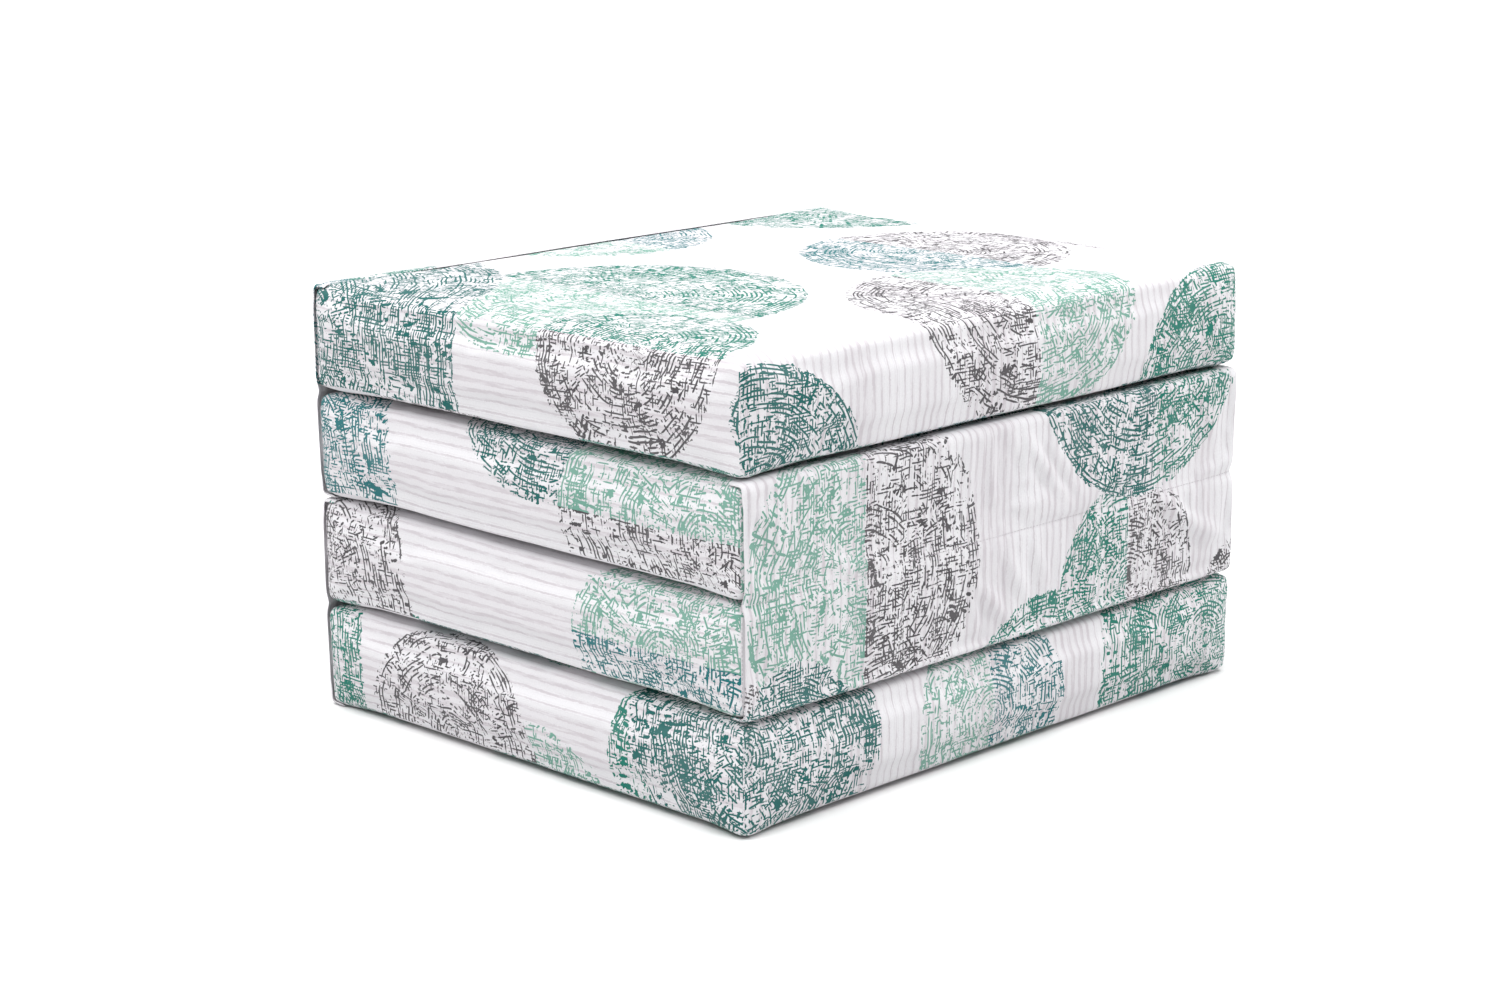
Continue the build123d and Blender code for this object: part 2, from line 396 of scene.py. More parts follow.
@dataclass
class Effects:
    """Node groups that the finishes share, built once."""

    slice: bpy.types.NodeTree = field(init=False)
    dashes: bpy.types.NodeTree = field(init=False)
    strokes: bpy.types.NodeTree = field(init=False)
    stripes: bpy.types.NodeTree = field(init=False)
    weave: bpy.types.NodeTree = field(init=False)

    def __post_init__(self) -> None:
        """Builds every group."""
        self.slice = self._slice()
        self.dashes = self._dashes()
        self.strokes = self._strokes()
        self.stripes = self._stripes()
        self.weave = self._weave()

    def _slice(self) -> bpy.types.NodeTree:
        """Lays one slice over the print so far: its own coordinates, its ink and its cover.

        Returns:
            The group.
        """
        group, s, given, out = new_group(
            "lay_slice",
            {"Cloth": "Vector", "Ragged": "Float", "Centre": "Vector", "Radius": "Float", "Cut": "Float",
             "Below": "Color", "Above": "Color", "Dense Below": "Float", "Dense Above": "Float",
             "Local": "Vector", "Ink": "Color", "Cover": "Float", "Density": "Float"},
            {"Local": "Vector", "Ink": "Color", "Cover": "Float", "Density": "Float"})
        offset = s.vector("SUBTRACT", given["Cloth"], given["Centre"])
        flat = s.vector("MULTIPLY", offset, FLATTEN)
        distance = s.math("ADD", s.vector("LENGTH", flat), given["Ragged"])
        inside = s.math("LESS_THAN", distance, given["Radius"])
        across = s.vector("DOT_PRODUCT", offset, (0, 1, 0))
        uneven = s.math("MULTIPLY_ADD", given["Ragged"], 0.15, across)
        above = s.math("GREATER_THAN", uneven, given["Cut"])
        ink = s.mix(above, given["Below"], given["Above"])
        s.tree.links.new(s.mix_vector(inside, given["Local"], offset), out["Local"])
        s.tree.links.new(s.mix(inside, given["Ink"], ink), out["Ink"])
        s.tree.links.new(s.math("MAXIMUM", given["Cover"], inside), out["Cover"])
        dense = s.mix_value(above, given["Dense Below"], given["Dense Above"])
        s.tree.links.new(s.mix_value(inside, given["Density"], dense), out["Density"])
        return group

    def _dashes(self) -> bpy.types.NodeTree:
        """Broken hand-cut lines along one direction, which swell and fade along their length.

        Returns:
            The group.
        """
        group, s, given, out = new_group(
            "cut_dashes", {"Along": "Float", "Across": "Float", "Seed": "Float", "Length": ("Float", 9.0),
                           "Pitch": ("Float", 3.4), "Need": ("Float", 0.5), "Widest": ("Float", 0.2)},
            {"Ink": "Float"})
        line_spread, swelling = 7.31, 4.0
        place = s.math("DIVIDE", given["Across"], given["Pitch"])
        line = s.math("FLOOR", place)
        spot = s.node("CombineXYZ", {"X": s.math("DIVIDE", given["Along"], given["Length"]),
                                     "Y": s.math("MULTIPLY", line, line_spread),
                                     "Z": given["Seed"]}).outputs[0]
        force = s.noise(spot, 1.0, 2.0, 0.65)
        aside = s.math("ABSOLUTE", s.math("SUBTRACT", s.math("FRACT", place), 0.5))
        half = s.math("MULTIPLY", s.math("SUBTRACT", force, given["Need"]), swelling)
        half = s.math("MINIMUM", half, given["Widest"])
        s.tree.links.new(s.ramp(s.math("SUBTRACT", half, aside), -0.03, 0.05), out["Ink"])
        return group

    def _strokes(self) -> bpy.types.NodeTree:
        """Cut pattern inside a slice: growth rings, rays and cross-hatching, denser in patches.

        Returns:
            The group.
        """
        group, s, given, out = new_group("scratched_slice", {"Local": "Vector", "Density": "Float"},
                                         {"Ink": "Float", "Tint": "Float"})
        half_grey = (0.5, 0.5, 0.5)
        wobble, arc_scale, bending = 2.5, 60.0, 12.0
        patch_pull, sparse_need = -0.46, 0.11
        thin_line, blot_swelling = 0.235, 1.4
        shaken = s.vector("SUBTRACT", s.noise_parts(given["Local"], 0.05), half_grey)
        shaken = s.vector("MULTIPLY", s.vector("SCALE", shaken, wobble), FLATTEN)
        shaken = s.vector("ADD", given["Local"], shaken)
        x, y, seed = s.parts(shaken)
        radius = s.vector("LENGTH", s.vector("MULTIPLY", shaken, FLATTEN))
        arc = s.math("MULTIPLY", s.math("ARCTAN2", y, x), arc_scale)
        bend = s.math("MULTIPLY_ADD", s.noise(given["Local"], 0.020), bending, radius)
        patch = s.parts(s.noise_parts(given["Local"], 0.030, 2.0, 0.6))
        blot = s.ramp(s.noise(given["Local"], 0.070, 2.0, 0.6), 0.60, 0.72, 0.0, 0.13)
        widest = s.math("MULTIPLY_ADD", blot, blot_swelling, thin_line)
        centre = s.ramp(radius, 12.0, 55.0, 0.05, 0.0)
        slant_along = s.math("MULTIPLY_ADD", x, 0.8, s.math("MULTIPLY", y, 0.6))
        slant_across = s.math("MULTIPLY_ADD", y, 0.8, s.math("MULTIPLY", x, -0.6))
        sparse = s.math("MULTIPLY", s.math("SUBTRACT", 1.0, given["Density"]), sparse_need)
        ink = 0.0
        for run, along, across in ((RING_RUN, arc, bend), (RAY_RUN, radius, arc), (LEVEL_RUN, x, y),
                                   (UPRIGHT_RUN, y, x), (SLANTED_RUN, slant_along, slant_across)):
            need = s.math("MULTIPLY_ADD", patch[run.patch], patch_pull, run.need)
            need = s.math("ADD", s.math("SUBTRACT", need, blot), sparse)
            if run.avoids_centre:
                need = s.math("ADD", need, centre)
            dash = s.group(self.dashes, {
                "Along": along, "Across": across, "Length": run.length, "Pitch": run.pitch,
                "Seed": s.math("ADD", seed, run.seed), "Need": need, "Widest": widest})
            ink = s.math("MAXIMUM", ink, dash.outputs["Ink"])
        s.tree.links.new(ink, out["Ink"])
        s.tree.links.new(s.ramp(patch[0], 0.35, 0.65), out["Tint"])
        return group

    def _stripes(self) -> bpy.types.NodeTree:
        """Ragged mauve stripes along the cloth, thin on white in places and merged in others.

        Returns:
            The group.
        """
        group, s, given, out = new_group("ragged_stripes", {"Cloth": "Vector", "Pitch": ("Float", 8.6)},
                                         {"Stripe": "Float", "Ground": "Float"})
        slub_mm, drift_mm = 3.0, 7.0

        def stretched(scale: tuple[float, float, float], detail: float = 1.0,
                      rough: float = 0.5) -> bpy.types.NodeSocket:
            """Noise with its own scale along and across the stripes."""
            return s.noise(s.vector("MULTIPLY", given["Cloth"], scale), 1.0, detail, rough)

        place = s.math("MULTIPLY_ADD", stretched((0.22, 0.60, 1.0), 3.0, 0.7), slub_mm,
                       s.parts(given["Cloth"])[1])
        place = s.math("MULTIPLY_ADD", stretched((0.006, 0.03, 1.0)), drift_mm, place)
        broad = stretched((0.0, 0.019, 0.0))
        patchy = stretched((0.045, 0.4, 1.0), 2.0, 0.6)
        edge = s.ramp(broad, 0.42, 0.62, 0.40, 0.24)
        tone = 0.0
        for share, weight in ((1.0, 1.0), (0.5, 0.45)):
            pitch = s.math("MULTIPLY", given["Pitch"], share)
            wave = s.math("PINGPONG", s.math("DIVIDE", place, pitch), 0.5)
            line = s.ramp(s.math("SUBTRACT", wave, edge), -0.035, 0.035)
            tone = s.math("MAXIMUM", tone, s.math("MULTIPLY", line, weight))
        worn = s.ramp(patchy, 0.30, 0.62, 0.45, 1.0)
        s.tree.links.new(s.math("MULTIPLY", tone, worn), out["Stripe"])
        s.tree.links.new(s.ramp(broad, 0.40, 0.62, 0.4, 1.0), out["Ground"])
        return group

    def _weave(self) -> bpy.types.NodeTree:
        """Plain weave: height of crossing yarns with slubs, and how soiled or fuzzy each spot is.

        Returns:
            The group.
        """
        group, s, given, out = new_group("plain_weave", {"Cloth": "Vector", "Yarn": ("Float", 0.7)},
                                         {"Height": "Float", "Fuzz": "Float"})
        waver_mm, cross_share, slub_share = 0.8, 0.45, 1.1
        turn = s.math("DIVIDE", 2 * math.pi, given["Yarn"])
        part = s.parts(given["Cloth"])
        waver = s.math("MULTIPLY", s.noise(given["Cloth"], 0.35), waver_mm)
        along = s.math("SINE", s.math("MULTIPLY", s.math("ADD", part[0], waver), turn))
        across = s.math("SINE", s.math("MULTIPLY", s.math("ADD", part[1], waver), turn))
        cross = s.math("MULTIPLY_ADD", s.math("MULTIPLY", along, across), 0.5, 0.5)
        slub = s.noise(s.vector("MULTIPLY", given["Cloth"], (0.25, 1.4, 1.0)), 1.0, 3.0, 0.65)
        cross = s.math("MULTIPLY", cross, cross_share)
        s.tree.links.new(s.math("MULTIPLY_ADD", slub, slub_share, cross), out["Height"])
        s.tree.links.new(s.noise(given["Cloth"], 0.6, 3.0, 0.7), out["Fuzz"])
        return group


def shader(name: str) -> tuple[bpy.types.Material, Sketch, bpy.types.Node]:
    """Starts a material. Returns it, a sketch on its nodes and its Principled shader."""
    material = bpy.data.materials.new(name)
    material.use_nodes = True
    return material, Sketch(material.node_tree), material.node_tree.nodes["Principled BSDF"]


@dataclass(frozen=True)
class PrintedCotton:
    """Cotton with ragged stripes under printed slices, on the cloth's own map."""

    name: str
    slices: tuple[Slice, ...]
    ground: tuple[float, float, float] = (0.725, 0.722, 0.740)
    mauve: tuple[float, float, float] = (0.455, 0.405, 0.440)
    ground_tint: float = 0.40
    mauve_share: float = 0.68
    ragged_mm: float = 10.0
    ink_share: float = 0.985
    ink_fading: float = 0.05
    slice_spread: float = 3.7

    def material(self, effects: Effects) -> bpy.types.Material:
        """Builds the material.

        Args:
            effects: the shared node groups.

        Returns:
            The material.
        """
        material, s, surface = shader(self.name)
        metres = s.node("UVMap", uv_map=PRINT_MAP).outputs[0]
        cloth = s.vector("SCALE", metres, 1 / MM)
        stripes = s.group(effects.stripes, {"Cloth": cloth}).outputs
        weave = s.group(effects.weave, {"Cloth": cloth}).outputs
        toned = s.math("MULTIPLY", stripes["Ground"], self.ground_tint)
        tint = s.math("MAXIMUM", stripes["Stripe"], toned, clamp=True)
        base = s.mix(s.math("MULTIPLY", tint, self.mauve_share), rgba(self.ground), rgba(self.mauve))
        ragged = s.math("MULTIPLY_ADD", s.noise(cloth, 0.16, 2.0, 0.7), self.ragged_mm,
                        -self.ragged_mm / 2)
        state = {"Local": cloth, "Ink": Ink.GREY.colour, "Cover": 0.0, "Density": 1.0}
        for number, piece in enumerate(self.slices):
            laid = s.group(effects.slice, {
                "Cloth": cloth, "Ragged": ragged, "Centre": (piece.u, piece.v, self.slice_spread * number),
                "Radius": piece.radius, "Cut": piece.cut, "Below": piece.below.colour,
                "Above": piece.above.colour, "Dense Below": piece.below.density,
                "Dense Above": piece.above.density, **state})
            state = {name: laid.outputs[name] for name in state}
        strokes = s.group(effects.strokes, {name: state[name] for name in ("Local", "Density")}).outputs
        cover = s.math("MULTIPLY", strokes["Ink"], state["Cover"])
        cover = s.math("MULTIPLY", cover, self.ink_share)
        faded = s.math("MULTIPLY", strokes["Tint"], self.ink_fading)
        dyed = s.mix(cover, base, s.mix(faded, state["Ink"], rgba(self.ground)))
        shade = s.ramp(weave["Fuzz"], 0.30, 0.70, 0.955, 1.02)
        s.plug(surface, {
            "Base Color": s.node("HueSaturation", {"Color": dyed, "Value": shade}).outputs[0],
            "Roughness": s.ramp(weave["Fuzz"], 0.2, 0.8, 0.82, 0.96),
            "Normal": s.bump(weave["Height"], 0.28, 0.6 * MM),
            "Sheen Weight": 0.03,
            "Sheen Roughness": 0.5,
            "Specular IOR Level": 0.2})
        return material


@dataclass(frozen=True)
class Textile:
    """Plain thread, tape or foam: one colour that varies a little, over a raised grain."""

    name: str
    colour: tuple[float, float, float]
    shade: tuple[float, float, float]
    grain: tuple[float, float, float]
    raise_mm: float = 0.3
    rough: float = 0.85

    def material(self) -> bpy.types.Material:
        """Builds the material.

        Returns:
            The material.
        """
        material, s, surface = shader(self.name)
        place = s.node("TexCoord").outputs["Object"]
        grain = s.noise(s.vector("MULTIPLY", place, self.grain), 1.0, 2.0, 0.6)
        wide = s.noise(place, 14.0, 2.0)
        blend = s.math("MULTIPLY_ADD", grain, 0.6, s.math("MULTIPLY", wide, 0.4))
        s.plug(surface, {
            "Base Color": s.mix(s.ramp(blend, 0.35, 0.65), rgba(self.shade), rgba(self.colour)),
            "Roughness": s.ramp(grain, 0.3, 0.7, self.rough - 0.08, self.rough + 0.06),
            "Normal": s.bump(grain, 0.6, self.raise_mm * MM),
            "Sheen Weight": 0.1})
        return material


@dataclass(frozen=True)
class Plated:
    """Nickel plate with fine scratches, or moulded nylon when it isn't metal."""

    name: str
    colour: tuple[float, float, float]
    metallic: float = 1.0
    rough: float = 0.3
    scratches: tuple[float, float, float] = (400.0, 2600.0, 2600.0)
    worn_share: float = 0.8

    def material(self) -> bpy.types.Material:
        """Builds the material.

        Returns:
            The material.
        """
        material, s, surface = shader(self.name)
        place = s.node("TexCoord").outputs["Object"]
        scratch = s.noise(s.vector("MULTIPLY", place, self.scratches), 1.0, 3.0, 0.6)
        cloud = s.ramp(s.noise(place, 220.0, 2.0), 0.35, 0.7)
        worn = tuple(self.worn_share * c for c in self.colour)
        s.plug(surface, {
            "Base Color": s.mix(cloud, rgba(worn), rgba(self.colour)),
            "Roughness": s.ramp(scratch, 0.3, 0.75, self.rough - 0.08, self.rough + 0.14),
            "Normal": s.bump(scratch, 0.15, 0.1 * MM),
            "Metallic": self.metallic})
        return material


THREAD = Textile("sewing_thread", (0.56, 0.53, 0.56), (0.42, 0.39, 0.42), (900, 900, 2600), 0.15)
TAPE = Textile("zip_tape", (0.78, 0.77, 0.79), (0.60, 0.59, 0.62), (700, 900, 2400), 0.2)
FOAM = Textile("open_cell_foam", (0.88, 0.84, 0.68), (0.72, 0.66, 0.48), (900, 900, 900), 0.5, 0.95)
NYLON = Plated("zip_nylon", (0.80, 0.79, 0.80), 0.0, 0.35)
NICKEL = Plated("zip_nickel", (0.62, 0.61, 0.60))


# --- Mesh helpers ---------------------------------------------------------------------------------


def to_object(bm: bmesh.types.BMesh, name: str, smooth: bool = True) -> bpy.types.Object:
    """Turns a finished bmesh into an object in the scene.

    Args:
        bm: the mesh, which is freed.
        name: the object's name.
        smooth: whether its faces are shaded smooth.

    Returns:
        The object.
    """
    mesh = bpy.data.meshes.new(name)
    for face in bm.faces:
        face.smooth = smooth
    bm.to_mesh(mesh)
    bm.free()
    made = bpy.data.objects.new(name, mesh)
    bpy.context.scene.collection.objects.link(made)
    return made


def coordinates(mesh: bpy.types.Mesh) -> np.ndarray:
    """Places of a mesh's vertices, one row each.

    Args:
        mesh: the mesh.

    Returns:
        The places, in metres.
    """
    places = np.zeros(len(mesh.vertices) * 3, np.float32)
    mesh.vertices.foreach_get("co", places)
    return places.reshape(-1, 3).astype(float)


def set_coordinates(mesh: bpy.types.Mesh, places: np.ndarray) -> None:
    """Moves a mesh's vertices."""
    mesh.vertices.foreach_set("co", places.astype(np.float32).ravel())
    mesh.update()


def evaluated(piece: bpy.types.Object) -> bpy.types.Mesh:
    """A new mesh of a piece with its modifiers applied.

    Args:
        piece: the piece.

    Returns:
        The mesh, which the caller keeps or removes.
    """
    graph = bpy.context.evaluated_depsgraph_get()
    return bpy.data.meshes.new_from_object(piece.evaluated_get(graph), preserve_all_data_layers=True,
                                           depsgraph=graph)


def smoothstep(value: np.ndarray, low: float, high: float) -> np.ndarray:
    """Smooth rise from 0 to 1 between two levels.

    Args:
        value: the values.
        low: where the rise starts.
        high: where it ends.

    Returns:
        The share at each value.
    """
    share = np.clip((value - low) / (high - low), 0, 1)
    return share * share * (3 - 2 * share)


def field_noise(places: np.ndarray, pitch: Iterable[float], offset: float) -> np.ndarray:
    """Smooth noise from about -1 to 1 at each place, with its own pitch along X, Y and Z.

    Args:
        places: places in metres, one row each.
        pitch: size of the waves along each axis.
        offset: shift that picks the pattern.

    Returns:
        The noise at each place.
    """
    shift = Vector((offset, -offset, 2 * offset))
    return np.array([noise.noise(Vector(place) + shift) for place in places / np.array(list(pitch))])


def dress_node(name: str, material: bpy.types.Material) -> None:
    """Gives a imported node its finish."""
    for held in frame["nodes"][name].material_slots:
        held.material = material


@dataclass(frozen=True)
class Surface:
    """Finished surfaces that stitches are sewn on."""

    trees: tuple[BVHTree, ...]

    @classmethod
    def of(cls, *pieces: bpy.types.Object) -> "Surface":
        """Reads the finished surfaces of some pieces.

        Args:
            pieces: the pieces, with their modifiers live.

        Returns:
            The surfaces.
        """
        trees = []
        for piece in pieces:
            mesh = evaluated(piece)
            bm = bmesh.new()
            bm.from_mesh(mesh)
            trees.append(BVHTree.FromBMesh(bm))
            bm.free()
            bpy.data.meshes.remove(mesh)
        return cls(tuple(trees))

    def meet(self, start: Vector, inward: Vector) -> Vector | None:
        """Where a ray first meets any of the surfaces, if it does.

        Args:
            start: where the ray starts.
            inward: the way it goes.

        Returns:
            The nearest place that it meets, or None.
        """
        hits = [tree.ray_cast(start, inward) for tree in self.trees]
        found = [hit for hit in hits if hit[0] is not None]
        return min(found, key=lambda hit: hit[3])[0] if found else None


@dataclass(frozen=True)
class Stitching:
    """Rows of stitches, each a slim bead of thread drawn down into the cloth."""

    pitch: float = 0.0034
    thread: float = 0.00042
    share: float = 0.78
    proud: float = 0.35

    def row(self, bm: bmesh.types.BMesh, surface: Surface, starts: list[Vector], inward: Vector) -> int:
        """Sews one row where rays from a line of starts meet the surface.

        Args:
            bm: mesh that takes the stitches.
            surface: what they are sewn on.
            starts: evenly spaced places outside the surface.
            inward: direction of the rays.

        Returns:
            The number of stitches.
        """
        count = 0
        met = [surface.meet(start, inward) for start in starts]
        for here, there in zip(met, met[1:]):
            if here is None or there is None or (there - here).length > 2 * self.pitch:
                continue
            along = (there - here).normalized()
            aside = along.cross(inward).normalized()
            turn = Matrix((along, aside, along.cross(aside))).transposed().to_4x4()
            size = Matrix.Diagonal((self.share * self.pitch / 2, self.thread, self.thread, 1))
            place = Matrix.Translation((here + there) / 2 - inward * self.proud * self.thread)
            bmesh.ops.create_icosphere(bm, subdivisions=1, radius=1.0, matrix=place @ turn @ size)
            count += 1
        return count

    def line(self, start: Vector, end: Vector) -> list[Vector]:
        """Evenly spaced places from one point to another."""
        steps = max(2, round((end - start).length / self.pitch))
        return [start.lerp(end, step / steps) for step in range(steps + 1)]


def keep_slack(piece: bpy.types.Object, levels: int = 1) -> None:
    """Adds a live subdivision that is the same in view and render."""
    modifier = piece.modifiers.new("smooth", "SUBSURF")
    modifier.levels = modifier.render_levels = levels


@dataclass
class ClothRun:
    """One short cloth simulation, whose result is kept as the mesh."""

    pressure: float = 0.0
    grow: float = 0.0
    gravity: float = 0.0
    frames: int = 20
    cap: float = 0.006
    stiffness: float = 15.0
    bending: float = 0.5

    def settle(self, piece: bpy.types.Object, pinned: str = "") -> float:
        """Runs the cloth and moves the piece's vertices to where it came to rest.

        Args:
            piece: the piece, with no modifiers.
            pinned: vertex group that stays put, if any.

        Returns:
            The furthest that a vertex moved, in metres.
        """
        scene = bpy.context.scene
        start = coordinates(piece.data)
        modifier = piece.modifiers.new("cloth", "CLOTH")
        settings = modifier.settings
        settings.quality = 4
        settings.mass = 0.25
        settings.tension_stiffness = settings.compression_stiffness = self.stiffness
        settings.shear_stiffness = 0.6 * self.stiffness
        settings.bending_stiffness = self.bending
        settings.use_pressure = self.pressure > 0
        settings.uniform_pressure_force = self.pressure
        settings.shrink_min = -self.grow
        settings.effector_weights.gravity = self.gravity
        if pinned:
            settings.vertex_group_mass = pinned
        modifier.collision_settings.use_collision = False
        modifier.point_cache.frame_start = 1
        modifier.point_cache.frame_end = self.frames
        for step in range(1, self.frames + 1):
            scene.frame_set(step)
        settled = evaluated(piece)
        end = coordinates(settled)
        bpy.data.meshes.remove(settled)
        piece.modifiers.remove(modifier)
        scene.frame_set(1)
        moved = end - start
        reach = np.maximum(np.linalg.norm(moved, axis=1), 1e-9)
        kept = moved * np.minimum(1.0, self.cap / reach)[:, None]
        set_coordinates(piece.data, start + kept)
        return float(min(reach.max(), self.cap))


# --- The stack --------------------------------------------------------------------------------------


@dataclass(frozen=True)
class Stack:
    """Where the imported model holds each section, and how the soft stack sags out of true."""

    waver: float = 0.0016
    lean: float = 0.0016
    waver_pitch: tuple[float, float, float] = (0.17, 0.19, 0.14)
    lean_pitch: tuple[float, float, float] = (0.60, 0.60, 0.085)
    floor_rise: tuple[float, float] = (0.0, 0.05)
    top_calm: tuple[float, float] = (0.33, 0.36)

    def section(self, number: int) -> tuple[Vector, Vector]:
        """Lowest and highest corner of a section's cover.

        Args:
            number: the section, counted from 1 at the bottom.

        Returns:
            The two corners.
        """
        shell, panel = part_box(f"cover_shell_{number}"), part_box(f"closing_panel_{number}")
        low = Vector(min(a, b) for a, b in zip(shell[0], panel[0]))
        high = Vector(max(a, b) for a, b in zip(shell[1], panel[1]))
        return low, high

    def hinge(self, lower: int) -> dict:
        """The fold joint over a section."""
        return next(j for j in frame["joints"] if j["name"] == f"fold_{lower}{lower + 1}")

    def side(self, lower: int) -> int:
        """Side of the fold over a section: -1 at the low X end, 1 at the high X end."""
        return 1 if self.hinge(lower)["pos_m"][0] > 0 else -1

    def strip_sides(self, number: int) -> set[int]:
        """Ends of a section that a fold strip covers."""
        return {self.side(lower) for lower in (number - 1, number) if 1 <= lower < SECTIONS}

    def zip_line(self, number: int) -> tuple[float, float, float]:
        """Half the length of a section's zip, the face that it lies on and its height."""
        low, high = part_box(f"zip_tape_{number}")
        return high.x, low.y, (low.z + high.z) / 2

    def sagged(self, places: list[Vector]) -> list[Vector]:
        """The same sag for a list of single places."""
        return [Vector(row) for row in self.sag(np.array([list(place) for place in places]))]

    def sag(self, places: np.ndarray) -> np.ndarray:
        """Moves places as the whole stack is a little out of true, the same for pieces that touch.

        Args:
            places: places in metres, one row each.

        Returns:
            The places after the sag.
        """
        off_floor = smoothstep(places[:, 2], *self.floor_rise)
        drop = self.waver * field_noise(places, self.waver_pitch, 3.1) * off_floor
        drop *= 1 - smoothstep(places[:, 2], *self.top_calm) * 0.5
        across = self.lean * field_noise(places, self.lean_pitch, 11.7)
        along = self.lean * field_noise(places, self.lean_pitch, 23.9)
        return places + np.stack([across, along, drop], axis=1)


